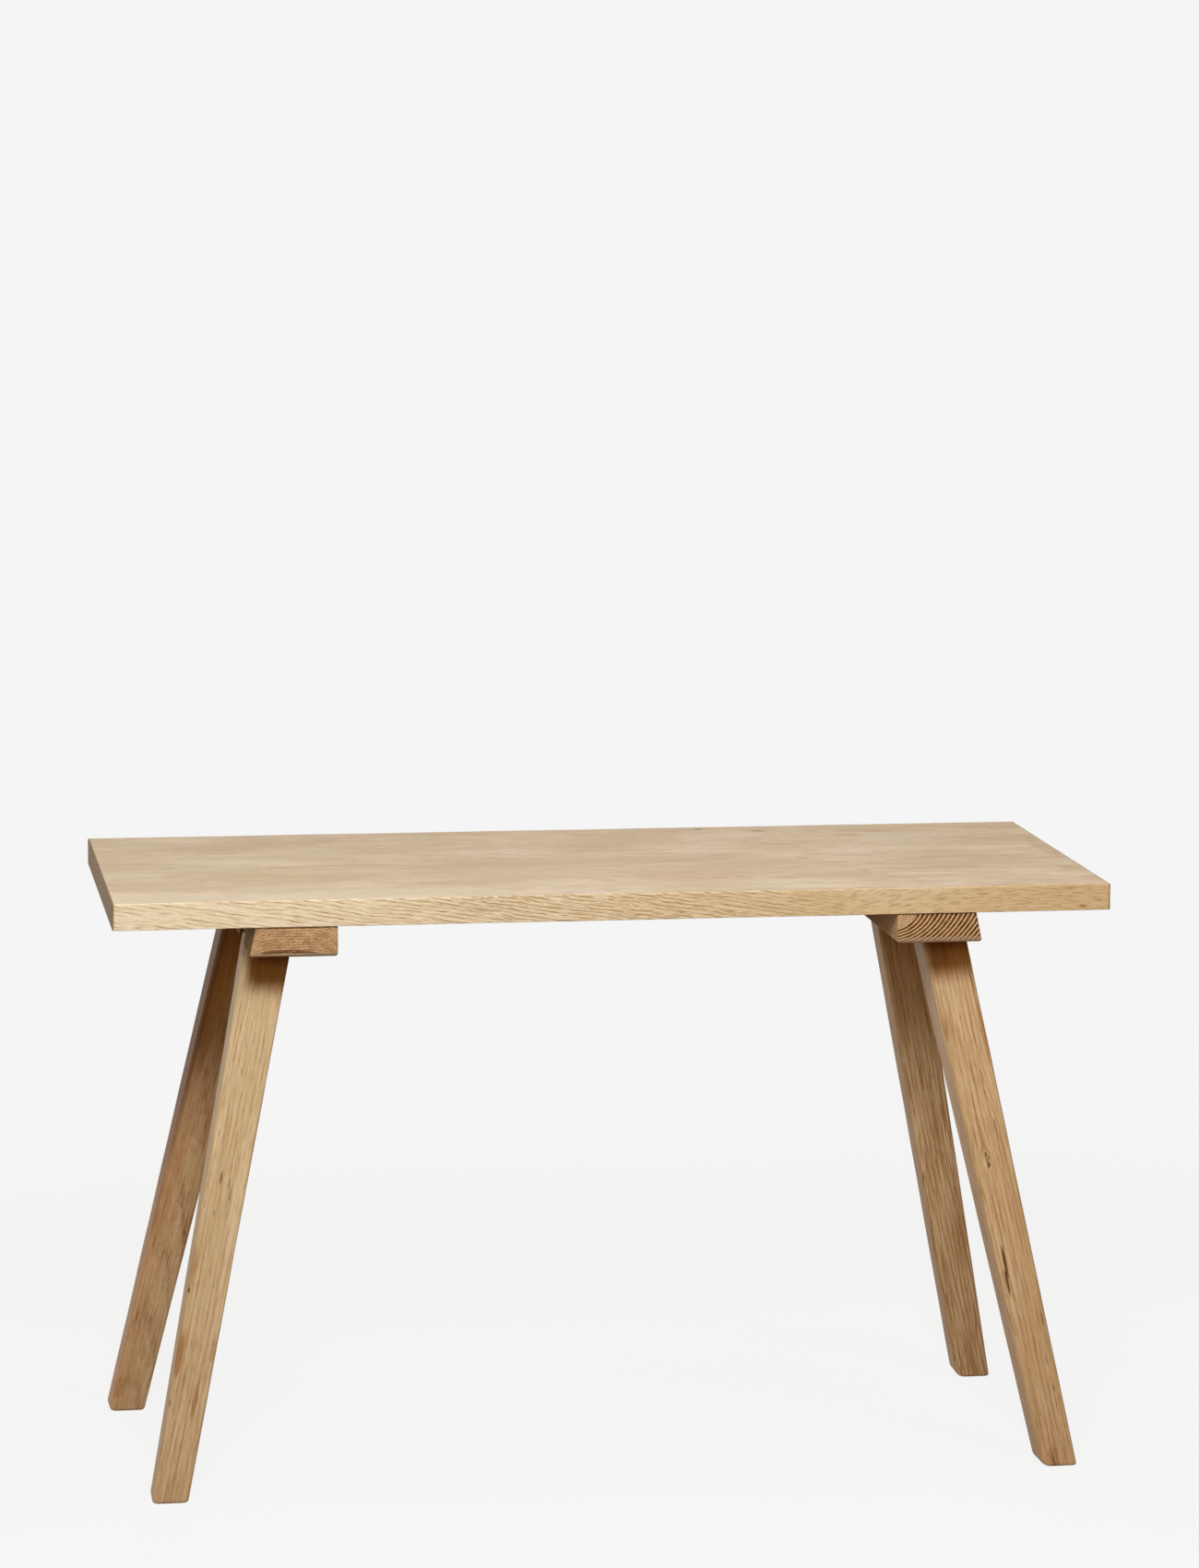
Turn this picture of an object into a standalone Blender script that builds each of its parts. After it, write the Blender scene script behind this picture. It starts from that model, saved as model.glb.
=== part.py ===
"""A small oak bench: one plank seat on two crossbars, carried by four splayed, tapered legs.

Metres, +Z up. The origin is on the floor below the middle of the seat. +X runs along the seat and -Y points
to the front. Each leg has a square-cut end that stands in a housing in the underside of its crossbar. The
housing is open on the crossbar's bevelled outer side, which the leg all but fills out. Two screws, driven
down through the crossbar before the seat goes on, hold each leg. Three screws, driven up through each
crossbar, hold the seat.
"""

from math import radians, tan

import bmesh
import bpy
from mathutils import Matrix, Vector

# The seat, one plank
SEAT_LENGTH = 0.740
SEAT_DEPTH = 0.295
SEAT_THICKNESS = 0.020
SEAT_HEIGHT = 0.450
SEAT_ARRIS = 0.001

# The crossbars, flat under the seat from front to rear
CROSSBAR_THICKNESS = 0.022
CROSSBAR_WIDTH = 0.0645
CROSSBAR_BEVEL = radians(12)
CROSSBAR_INSET_LEFT = 0.0988
CROSSBAR_INSET_RIGHT = 0.0967
CROSSBAR_SETBACK = 0.002
CROSSBAR_LOWER_ARRIS = 0.0022
CROSSBAR_UPPER_ARRIS = 0.0006

# The legs, square in section
LEG_TOP_WIDTH = 0.0345
LEG_FOOT_WIDTH = 0.0268
LEG_INSET = 0.069
LEG_STEP = 0.0013
LEG_ARRIS = 0.0025
HOUSING_DEPTH = 0.009

# Side and end of each leg, with its lean outwards along the seat and across it. Each was set by hand.
LEGS = {
    "leg_front_left": (-1, -1, radians(10.8), radians(6.8)),
    "leg_front_right": (1, -1, radians(12.4), radians(6.3)),
    "leg_rear_left": (-1, 1, radians(12.9), radians(6.2)),
    "leg_rear_right": (1, 1, radians(11.7), radians(7.1)),
}

# The countersunk wood screws
SCREW_RADIUS = 0.0025
SCREW_HEAD_RADIUS = 0.0045
SCREW_HEAD_RIM = 0.0005
SCREW_POINT = 0.006
SCREW_SINK = 0.0005
SCREW_SOCKET_RADIUS = 0.002
SCREW_SOCKET_DEPTH = 0.0018
LEG_SCREW_LENGTH = 0.060
LEG_SCREW_EDGE = 0.009
SEAT_SCREW_LENGTH = 0.035
SEAT_SCREW_SETBACK = 0.024

# The clearance between pieces that touch, how far cuts run past a face, and the merging distance of turned shapes
FIT = 0.0003
OVERRUN = 0.010
MERGE = 0.00001
TURNED_STEPS = 16
SOCKET_SIDES = 6
ARRIS_SEGMENTS = 3
BEVEL_ANGLE = radians(30)

SEAT_UNDERSIDE = SEAT_HEIGHT - SEAT_THICKNESS
CROSSBAR_TOP = SEAT_UNDERSIDE - FIT
CROSSBAR_UNDERSIDE = CROSSBAR_TOP - CROSSBAR_THICKNESS
CROSSBAR_LENGTH = SEAT_DEPTH - 2 * CROSSBAR_SETBACK
CROSSBAR_OUTER_EDGES = {-1: SEAT_LENGTH / 2 - CROSSBAR_INSET_LEFT, 1: SEAT_LENGTH / 2 - CROSSBAR_INSET_RIGHT}
HOUSING_CEILING = CROSSBAR_UNDERSIDE + HOUSING_DEPTH

OAK_PALE = ((0.62, 0.47, 0.30), 0.55)
OAK_TAN = ((0.50, 0.33, 0.17), 0.55)
OAK_BROWN = ((0.43, 0.27, 0.13), 0.60)
STEEL_COLOUR = (0.62, 0.60, 0.55)


def clear_scene():
    """Removes every object of the scene that the script starts in."""
    for obj in list(bpy.data.objects):
        bpy.data.objects.remove(obj, do_unlink=True)


def new_collection(name):
    """A collection of the scene."""
    collection = bpy.data.collections.new(name)
    bpy.context.scene.collection.children.link(collection)
    return collection


def material(name, colour, roughness, metallic=0.0):
    """A Principled material of one colour."""
    mat = bpy.data.materials.new(name)
    mat.use_nodes = True
    shader = mat.node_tree.nodes["Principled BSDF"]
    shader.inputs["Base Color"].default_value = (*colour, 1.0)
    shader.inputs["Roughness"].default_value = roughness
    shader.inputs["Metallic"].default_value = metallic
    mat.diffuse_color = (*colour, 1.0)
    return mat


def add_piece(name, mesh, collection, root, mat):
    """A piece of the bench, as an object of its own under the root."""
    piece = bpy.data.objects.new(name, mesh)
    collection.objects.link(piece)
    piece.parent = root
    if not mesh.materials:
        mesh.materials.append(mat)
    return piece


def add_cutter(name, mesh, collection, frame):
    """A shape to cut with, which isn't a piece."""
    cutter = bpy.data.objects.new(name, mesh)
    collection.objects.link(cutter)
    cutter.matrix_world = frame
    cutter.hide_render = True
    cutter.display_type = "WIRE"
    return cutter


def to_mesh(bm, name):
    """The bmesh as mesh data, with its faces turned outwards."""
    bmesh.ops.recalc_face_normals(bm, faces=bm.faces)
    mesh = bpy.data.meshes.new(name)
    bm.to_mesh(mesh)
    bm.free()
    return mesh


def block(corner):
    """A bmesh of a block. corner gives the place of each corner from its three signs."""
    bm = bmesh.new()
    bmesh.ops.create_cube(bm, size=2.0)
    for vert in bm.verts:
        vert.co = corner(*(round(value) for value in vert.co))
    return bm


def slice_level(bm, frame, height, clear_above):
    """Cuts the closed bmesh at a height of the world and closes it again. frame places the bmesh."""
    inverse = frame.inverted()
    bmesh.ops.bisect_plane(
        bm,
        geom=bm.verts[:] + bm.edges[:] + bm.faces[:],
        plane_co=inverse @ Vector((0, 0, height)),
        plane_no=inverse.to_3x3() @ Vector((0, 0, 1)),
        clear_outer=clear_above,
        clear_inner=not clear_above,
    )
    bmesh.ops.holes_fill(bm, edges=[edge for edge in bm.edges if edge.is_boundary])


def add_bevel(piece, width):
    """Eases every arris of the piece."""
    bevel = piece.modifiers.new("arrises", "BEVEL")
    bevel.width = width
    bevel.segments = ARRIS_SEGMENTS
    bevel.limit_method = "ANGLE"
    bevel.angle_limit = BEVEL_ANGLE


def cut(piece, cutters):
    """Takes each cutter out of the piece."""
    for cutter in cutters:
        boolean = piece.modifiers.new(cutter.name, "BOOLEAN")
        boolean.operation = "DIFFERENCE"
        boolean.object = cutter


def evaluated_mesh(obj, name):
    """The object's mesh with its modifiers applied. The object is removed."""
    graph = bpy.context.evaluated_depsgraph_get()
    mesh = bpy.data.meshes.new_from_object(obj.evaluated_get(graph))
    mesh.name = name
    bpy.data.objects.remove(obj, do_unlink=True)
    return mesh


def turned_object(name, profile):
    """An object turned about Z from profile points (radius, height), which run from top to bottom."""
    mesh = bpy.data.meshes.new(name)
    points = [(radius, 0, height) for radius, height in profile]
    mesh.from_pydata(points, [(i, i + 1) for i in range(len(points) - 1)], [])
    turned = bpy.data.objects.new(name, mesh)
    bpy.context.scene.collection.objects.link(turned)
    screw = turned.modifiers.new("turn", "SCREW")
    screw.axis = "Z"
    screw.steps = TURNED_STEPS
    screw.render_steps = TURNED_STEPS
    screw.use_merge_vertices = True
    screw.merge_threshold = MERGE
    return turned


def screw_mesh(name, length):
    """A countersunk screw: head top at the origin, point at -Z, with a socket in the head."""
    head_depth = SCREW_HEAD_RADIUS - SCREW_RADIUS
    profile = [
        (0, 0),
        (SCREW_HEAD_RADIUS, 0),
        (SCREW_HEAD_RADIUS, -SCREW_HEAD_RIM),
        (SCREW_RADIUS, -SCREW_HEAD_RIM - head_depth),
        (SCREW_RADIUS, SCREW_POINT - length),
        (0, -length),
    ]
    turned = turned_object(name, profile)
    bm = bmesh.new()
    bmesh.ops.create_cone(
        bm,
        cap_ends=True,
        segments=SOCKET_SIDES,
        radius1=SCREW_SOCKET_RADIUS,
        radius2=SCREW_SOCKET_RADIUS,
        depth=2 * SCREW_SOCKET_DEPTH,
    )
    socket = bpy.data.objects.new("socket", to_mesh(bm, "socket"))
    bpy.context.scene.collection.objects.link(socket)
    cut(turned, [socket])
    mesh = evaluated_mesh(turned, name)
    bpy.data.objects.remove(socket, do_unlink=True)
    mesh.shade_smooth()
    mesh.set_sharp_from_angle(angle=BEVEL_ANGLE)
    return mesh


def screw_hole_mesh(name, length):
    """The hole for a screw: its profile grown by the fit and open above the head."""
    head_radius = SCREW_HEAD_RADIUS + FIT
    radius = SCREW_RADIUS + FIT
    rim = -SCREW_HEAD_RIM - FIT
    profile = [
        (0, OVERRUN),
        (head_radius, OVERRUN),
        (head_radius, rim),
        (radius, rim - (head_radius - radius)),
        (radius, SCREW_POINT - length),
        (FIT, -length - FIT),
        (0, -length - FIT),
    ]
    return evaluated_mesh(turned_object(name, profile), name)


def leg_frame(side, end, lean_along, lean_across):
    """The frame of a leg: its origin is the axis's point on the floor, and its Z runs up the axis.

    At the crossbar's underside, the leg's outer face lies a small step inside the crossbar's lower outer
    edge. The frame's Y is square to the world's X, so that the front face stands level with the seat.
    """
    up = Vector((-side * tan(lean_along), -end * tan(lean_across), 1))
    axis_x = CROSSBAR_OUTER_EDGES[side] - LEG_STEP - leg_half_width_level(lean_along)
    foot_x = axis_x + CROSSBAR_UNDERSIDE * tan(lean_along)
    foot_y = SEAT_DEPTH / 2 - LEG_INSET + CROSSBAR_UNDERSIDE * tan(lean_across)
    z_axis = up.normalized()
    y_axis = z_axis.cross(Vector((1, 0, 0))).normalized()
    x_axis = y_axis.cross(z_axis)
    turn = Matrix((x_axis, y_axis, z_axis)).transposed().to_4x4()
    return Matrix.Translation((side * foot_x, end * foot_y, 0)) @ turn


def leg_half_width_level(lean_along):
    """Half of the leg's width at its upper end, measured level and not square to the axis."""
    return LEG_TOP_WIDTH / 2 * (1 + tan(lean_along) ** 2) ** 0.5


def leg_length(frame):
    """The length of a leg's axis from the floor to its square-cut end, whose highest corner meets the
    housing's ceiling."""
    x_axis, y_axis, z_axis, _ = frame.col
    corner_rise = LEG_TOP_WIDTH / 2 * (abs(x_axis.z) + abs(y_axis.z))
    return (HOUSING_CEILING - FIT - corner_rise) / z_axis.z


def leg_half_width(height, length):
    """Half of a leg's width at a height along its axis. The taper is straight."""
    share = height / length
    return (LEG_FOOT_WIDTH + (LEG_TOP_WIDTH - LEG_FOOT_WIDTH) * share) / 2


def leg_mesh(name, frame):
    """A tapered square bar, cut level at the floor and square at its upper end."""
    length = leg_length(frame)

    def corner(x, y, z):
        height = length if z > 0 else -OVERRUN
        half = leg_half_width(height, length)
        return Vector((x * half, y * half, height))

    bm = block(corner)
    slice_level(bm, frame, 0, clear_above=False)
    return to_mesh(bm, name)


def housing_mesh(name, frame, side):
    """What the housing takes out of the crossbar: the leg's upper end grown by the fit, run out past the
    crossbar's outer side and cut level at the ceiling."""
    length = leg_length(frame)

    def corner(x, y, z):
        height = length + OVERRUN if z > 0 else length - LEG_TOP_WIDTH
        half = leg_half_width(height, length) + FIT
        run_out = OVERRUN if x == side else 0
        return Vector((x * (half + run_out), y * half, height))

    bm = block(corner)
    slice_level(bm, frame, HOUSING_CEILING, clear_above=True)
    return to_mesh(bm, name)


def crossbar_mesh(name, side):
    """A flat bar whose outer side is bevelled outwards going down, like the legs."""
    slant = CROSSBAR_THICKNESS * tan(CROSSBAR_BEVEL)

    def corner(x, y, z):
        edge = CROSSBAR_OUTER_EDGES[side]
        outer = edge - (slant if z > 0 else 0)
        across = outer if x == side else edge - CROSSBAR_WIDTH
        height = CROSSBAR_TOP if z > 0 else CROSSBAR_UNDERSIDE
        return Vector((side * across, y * CROSSBAR_LENGTH / 2, height))

    bm = block(corner)
    weight = bm.edges.layers.float.new("bevel_weight_edge")
    middle = (CROSSBAR_TOP + CROSSBAR_UNDERSIDE) / 2
    for edge in bm.edges:
        lower = all(vert.co.z < middle for vert in edge.verts)
        edge[weight] = 1 if lower else CROSSBAR_UPPER_ARRIS / CROSSBAR_LOWER_ARRIS
    return to_mesh(bm, name)


def build_seat(parts, root, mat):
    """The plank."""

    def corner(x, y, z):
        return Vector((x * SEAT_LENGTH / 2, y * SEAT_DEPTH / 2, z * SEAT_THICKNESS / 2))

    seat = add_piece("seat", to_mesh(block(corner), "seat"), parts, root, mat)
    seat.location.z = SEAT_HEIGHT - SEAT_THICKNESS / 2
    add_bevel(seat, SEAT_ARRIS)
    return seat


def build_leg(name, frame, parts, root, mat):
    """A leg, standing on its level foot."""
    leg = add_piece(name, leg_mesh(name, frame), parts, root, mat)
    leg.matrix_world = frame
    add_bevel(leg, LEG_ARRIS)
    return leg


def build_crossbar(name, side, parts, root, mat):
    """A crossbar before its housings and holes are cut."""
    crossbar = add_piece(name, crossbar_mesh(name, side), parts, root, mat)
    bevel = crossbar.modifiers.new("arrises", "BEVEL")
    bevel.width = CROSSBAR_LOWER_ARRIS
    bevel.segments = ARRIS_SEGMENTS
    bevel.limit_method = "WEIGHT"
    return crossbar


def leg_screw_frames(frame):
    """The frames of a leg's two screws, which run down beside its axis with their heads sunk in the crossbar's
    top. Each stands the same way in from the leg's front or rear face."""
    tilt_rise = SCREW_HEAD_RADIUS * frame.col[2].xy.length
    height = (CROSSBAR_TOP - SCREW_SINK - tilt_rise) / frame.col[2].z
    for hand in (-1, 1):
        off_axis = hand * (LEG_TOP_WIDTH / 2 - LEG_SCREW_EDGE)
        drop = off_axis * frame.col[1].z / frame.col[2].z
        yield frame @ Matrix.Translation(Vector((0, off_axis, height - drop)))


def seat_screw_frames(side):
    """The frames of a crossbar's three seat screws, which point up with their heads sunk in its underside."""
    reach = CROSSBAR_LENGTH / 2 - SEAT_SCREW_SETBACK
    across = side * (CROSSBAR_OUTER_EDGES[side] - CROSSBAR_WIDTH / 2)
    for end in (-1, 0, 1):
        place = Vector((across, end * reach, CROSSBAR_UNDERSIDE + SCREW_SINK))
        yield Matrix.Translation(place) @ Matrix.Rotation(radians(180), 4, "X")


def build_screw(name, mesh, hole, frame, parts, cutters, root, mat):
    """A screw in its place. Returns the cutter for its hole."""
    screw = add_piece(name, mesh, parts, root, mat)
    screw.matrix_world = frame
    return add_cutter(name + "_hole", hole, cutters, frame)


def build_bench():
    """Models the bench: seat, crossbars, legs and screws."""
    parts = new_collection("bench")
    cutters = new_collection("cutters")
    root = bpy.data.objects.new("bench_root", None)
    parts.objects.link(root)
    oak_seat = material("oak_seat", *OAK_PALE)
    oak_leg = material("oak_leg", *OAK_TAN)
    oak_crossbar = material("oak_crossbar", *OAK_BROWN)
    steel = material("steel_screw", STEEL_COLOUR, 0.35, 1.0)
    leg_screw = screw_mesh("leg_screw", LEG_SCREW_LENGTH)
    leg_hole = screw_hole_mesh("leg_screw_hole", LEG_SCREW_LENGTH)
    seat_screw = screw_mesh("seat_screw", SEAT_SCREW_LENGTH)
    seat_hole = screw_hole_mesh("seat_screw_hole", SEAT_SCREW_LENGTH)

    seat = build_seat(parts, root, oak_seat)
    crossbars = {}
    for side, hand in ((-1, "left"), (1, "right")):
        crossbar = build_crossbar("crossbar_" + hand, side, parts, root, oak_crossbar)
        crossbars[side] = crossbar
        for frame, place in zip(seat_screw_frames(side), ("front", "middle", "rear")):
            name = f"seat_screw_{place}_{hand}"
            hole = build_screw(name, seat_screw, seat_hole, frame, parts, cutters, root, steel)
            cut(crossbar, [hole])
            cut(seat, [hole])
    for name, (side, end, lean_along, lean_across) in LEGS.items():
        frame = leg_frame(side, end, lean_along, lean_across)
        leg = build_leg(name, frame, parts, root, oak_leg)
        housing = housing_mesh(name + "_housing", frame, side)
        cut(crossbars[side], [add_cutter(name + "_housing", housing, cutters, frame)])
        for number, screw_frame in enumerate(leg_screw_frames(frame), 1):
            screw_name = name.replace("leg", "leg_screw") + f"_{number}"
            hole = build_screw(screw_name, leg_screw, leg_hole, screw_frame, parts, cutters, root, steel)
            cut(crossbars[side], [hole])
            cut(leg, [hole])


clear_scene()
build_bench()
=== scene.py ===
"""The looks of a small oak bench: a planed seat, four tapered legs, the oak itself and a plain studio.

Metres, +Z up. The origin is on the floor below the middle of the seat, +X runs along it and -Y is its
front. The file is laid out as an add-on and run as a script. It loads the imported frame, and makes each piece
with its own operator.
"""

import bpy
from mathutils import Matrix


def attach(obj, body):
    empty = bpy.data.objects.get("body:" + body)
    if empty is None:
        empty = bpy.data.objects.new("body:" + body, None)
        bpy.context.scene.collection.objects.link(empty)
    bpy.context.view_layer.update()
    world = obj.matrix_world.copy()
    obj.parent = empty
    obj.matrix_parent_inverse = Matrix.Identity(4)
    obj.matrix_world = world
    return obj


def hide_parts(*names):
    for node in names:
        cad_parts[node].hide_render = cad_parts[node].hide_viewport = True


bl_info = {
    "name": "Oak bench",
    "version": (1, 0, 0),
    "blender": (4, 5, 0),
    "location": "View3D > Sidebar > Bench",
    "description": "Dresses the frame of a small oak bench: seat, crossbars, legs, screws and studio",
    "category": "Add Mesh",
}

import itertools
from math import cos, pi, radians, sin, tan

import bpy
import numpy as np
from mathutils import Matrix, Vector

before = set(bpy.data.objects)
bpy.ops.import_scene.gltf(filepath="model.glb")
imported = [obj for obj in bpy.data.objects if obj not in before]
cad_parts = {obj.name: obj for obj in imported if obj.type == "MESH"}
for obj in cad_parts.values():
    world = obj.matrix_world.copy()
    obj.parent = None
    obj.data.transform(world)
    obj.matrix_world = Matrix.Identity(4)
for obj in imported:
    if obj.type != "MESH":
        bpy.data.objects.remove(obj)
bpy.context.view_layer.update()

# Sizes of the source, repeated here
SEAT_LENGTH = 0.740
SEAT_DEPTH = 0.295
SEAT_THICKNESS = 0.020
SEAT_HEIGHT = 0.450
CROSSBAR_UNDERSIDE = 0.4077
CROSSBAR_LENGTH = 0.291
CROSSBAR_OUTER_EDGES = {-1: 0.2712, 1: 0.2733}
HOUSING_CEILING = 0.4167
LEG_TOP_WIDTH = 0.0345
LEG_FOOT_WIDTH = 0.0268
LEG_INSET = 0.069
LEG_STEP = 0.0013
FIT = 0.0003

# Side, end, lean along the seat and lean across it of each leg
LEGS = {
    "leg_front_left": (-1, -1, radians(10.8), radians(6.8)),
    "leg_front_right": (1, -1, radians(12.4), radians(6.3)),
    "leg_rear_left": (-1, 1, radians(12.9), radians(6.2)),
    "leg_rear_right": (1, 1, radians(11.7), radians(7.1)),
}

FOOT_EASE = 0.0022
LEG_TOP_EASE = 0.0006

# The ease of each foot's lower edge towards -X, which is more than FOOT_EASE, that of the other three
FOOT_CHAMFERS = {
    "leg_front_left": 0.0034,
    "leg_front_right": 0.0056,
    "leg_rear_left": 0.0036,
    "leg_rear_right": 0.0058,
}

# The camera's place, its turn to the right, its tip down, its roll, its lens and its sensor's width in
# millimetres, and how far it sees
CAMERA_PLACE = (-0.5853, -3.5748, 1.0589)
CAMERA_TURN = radians(9.435)
CAMERA_PITCH = radians(8.636)
CAMERA_ROLL = radians(0.457)
CAMERA_LENS = 110.87
CAMERA_SENSOR = 36.0
CAMERA_REACH = 60.0

# The floor: its innermost and outermost radius, its rings and sides, the lit share of it by the bench, and
# the distances at which that share starts and is full
FLOOR_CORE = 0.2
FLOOR_RADIUS = 14.0
FLOOR_RINGS = 24
FLOOR_SIDES = 96
LIT_SHARE = 0.08
LIT_REACH = (1.8, 0.5)

# Colours of the studio: the air's light on the bench, the floor's light on it, and the floor's paper
AIR_TINT = (1.0, 0.60, 0.30)
FLOOR_TINT = (0.15, 0.085, 0.042)
PAPER = ((0.86, 0.86, 0.86), (0.90, 0.90, 0.90))
WHITE = (1.0, 1.0, 1.0)

# Pairs of colours that noise mixes: the seat's sawn ends and the two crossbars' ends
SEAT_END = ((0.262, 0.164, 0.070), (0.142, 0.074, 0.022))
LEFT_END = ((0.27, 0.165, 0.08), (0.47, 0.31, 0.168))
RIGHT_END = ((0.095, 0.038, 0.011), (0.20, 0.10, 0.038))

# The film on the screws, and the chip beside the knot
STEEL_FILM = (0.50, 0.44, 0.32)
CHIP_COLOUR = (0.60, 0.43, 0.24)

# Heights of the fine relief
WOOD_RELIEF = 0.00025
STEEL_RELIEF = 0.00005

# How far inside the seat's edges, its ends and the crossbars' ends their own colours start and are full
EDGE_BAND = (0.0017, 0.0007)
END_BAND = (0.0016, 0.0006)
CROSSBAR_BAND = (0.0006, 0.0001)

# Steps of the seat's and the legs' surfaces along a flat side, round a corner and along the piece, and the
# angle from which their edges are shaded as sharp
SEAT_STEPS = (36, 6, 297)
LEG_STEPS = (12, 7, 150)
SHARP_ANGLE = radians(40)

# The point that the lamps face, and each lamp's azimuth and elevation in degrees, distance, width and height
LAMP_TARGET = (0.0, 0.0, 0.40)
LAMPS = {
    "front_lamp": (12, 34, 1.9, 0.55, 0.42),
    "low_lamp": (16, 16, 1.9, 0.90, 0.30),
    "right_lamp": (-35, 32, 1.9, 0.75, 0.50),
    "left_lamp": (86, 4, 5.0, 1.50, 1.00),
    "rear_lamp": (180, 16, 2.2, 1.20, 0.80),
    "top_lamp": (0, 80, 2.2, 1.60, 1.00),
}


def colour_property(name, description, default):
    """A colour that a user may change."""
    return bpy.props.FloatVectorProperty(
        name=name, description=description, default=default, subtype="COLOR", size=3, min=0.0, max=1.0
    )


def length_property(name, description, default, most):
    """A length that a user may change."""
    sizes = {"min": 0.0, "max": most, "precision": 4, "subtype": "DISTANCE", "unit": "LENGTH"}
    return bpy.props.FloatProperty(name=name, description=description, default=default, **sizes)


def power_property(name, description, default):
    """A lamp's power that a user may change."""
    limits = {"min": 0.0, "unit": "POWER"}
    return bpy.props.FloatProperty(name=name, description=description, default=default, **limits)


def light_property(name, description, default, most):
    """A brightness that a user may change, where 1 is white."""
    limits = {"min": 0.0, "max": most}
    return bpy.props.FloatProperty(name=name, description=description, default=default, **limits)


class SeatSettings(bpy.types.PropertyGroup):
    """Sizes and colours of the seat plank."""

    arris: length_property("Arris", "Radius of the plank's eased edges", 0.0010, 0.004)
    ripple: length_property("Ripple", "Depth of the hand-planed unevenness", 0.0003, 0.001)
    pale: colour_property("Pale oak", "The creamiest wood of the top", (0.70, 0.622, 0.474))
    warm: colour_property("Warm oak", "The pinkish wood of the top", (0.566, 0.433, 0.297))
    straw: colour_property("Straw oak", "Yellower wood of the top", (0.57, 0.48, 0.305))
    brown: colour_property("Brown oak", "Streaks and small marks", (0.34, 0.22, 0.12))
    edge_pale: colour_property("Pale edge", "The long edges at their left end", (0.686, 0.598, 0.422))
    edge_tan: colour_property("Tan edge", "The long edges at their right end", (0.530, 0.378, 0.203))
    dash: colour_property("Dashes", "Short lines of pores on the long edges", (0.32, 0.20, 0.088))


class LegSettings(bpy.types.PropertyGroup):
    """Sizes and colours of the legs."""

    arris: length_property("Arris", "Radius of the legs' eased edges", 0.0024, 0.006)
    ripple: length_property("Ripple", "Depth of the hand-planed unevenness", 0.00025, 0.001)
    pale: colour_property("Pale oak", "The lightest wood of the legs", (0.70, 0.525, 0.325))
    warm: colour_property("Warm oak", "The body of the legs", (0.54, 0.375, 0.20))
    brown: colour_property("Brown oak", "Growth rings and streaks of the legs", (0.32, 0.17, 0.07))
    russet: colour_property("Russet oak", "Redder wood of the rear left leg", (0.40, 0.19, 0.085))
    # Painted shade: a saturated brown mixed into the rear legs' tops, where the seat's shadow falls
    amber_painted_shade: colour_property("Amber oak", "Painted_shade_on wood at the tops of the rear legs", (0.36, 0.158, 0.008))
    pore: colour_property("Pores", "Pores and cracks", (0.13, 0.06, 0.022))
    # Painted shadow: a saturated brown that deepens the crossbars' cast shadow on the front legs
    painted_bar_shadow: colour_property("Oiled joint", "Painted_shadow_on wood under the crossbars", (0.27, 0.096, 0.004))


class CrossbarSettings(bpy.types.PropertyGroup):
    """Colours of the crossbars."""

    pale: colour_property("Pale rays", "Rays of the left bar's end grain", (0.80, 0.56, 0.32))
    hard: colour_property("Hard lines", "Hard lines of the right bar's end grain", (0.88, 0.62, 0.345))
    brown: colour_property("Brown oak", "Soft bands of the end grain", (0.25, 0.125, 0.045))
    pore: colour_property("Pores", "Rows of open pores in the end grain", (0.075, 0.03, 0.010))
    worn: colour_property("Worn edge", "Eased lower edges of the ends", (0.30, 0.215, 0.138))


class ScrewSettings(bpy.types.PropertyGroup):
    """Colour of the screws."""

    steel: colour_property("Steel", "Yellow-passivated steel", (0.62, 0.58, 0.47))


class StudioSettings(bpy.types.PropertyGroup):
    """Light and background."""

    background: light_property("Background", "The floor and the air behind the bench", 0.913, 1.0)
    near_floor: light_property("Floor by the bench", "The floor under the bench, unlit share", 0.927, 1.2)
    air: light_property("Air", "Strength of the light from all round", 0.22, 2.0)
    front_lamp: power_property("Front lamp", "Power of the main lamp, in front", 26.0)
    low_lamp: power_property("Low lamp", "Power of the weak lamp under the main one", 6.0)
    right_lamp: power_property("Right lamp", "Power of the lamp at the front right", 8.0)
    left_lamp: power_property("Left lamp", "Power of the low, far lamp off the left end", 62.0)
    rear_lamp: power_property("Rear lamp", "Power of the lamp behind the bench", 14.0)
    top_lamp: power_property("Top lamp", "Power of the lamp over the bench", 6.5)


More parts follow.
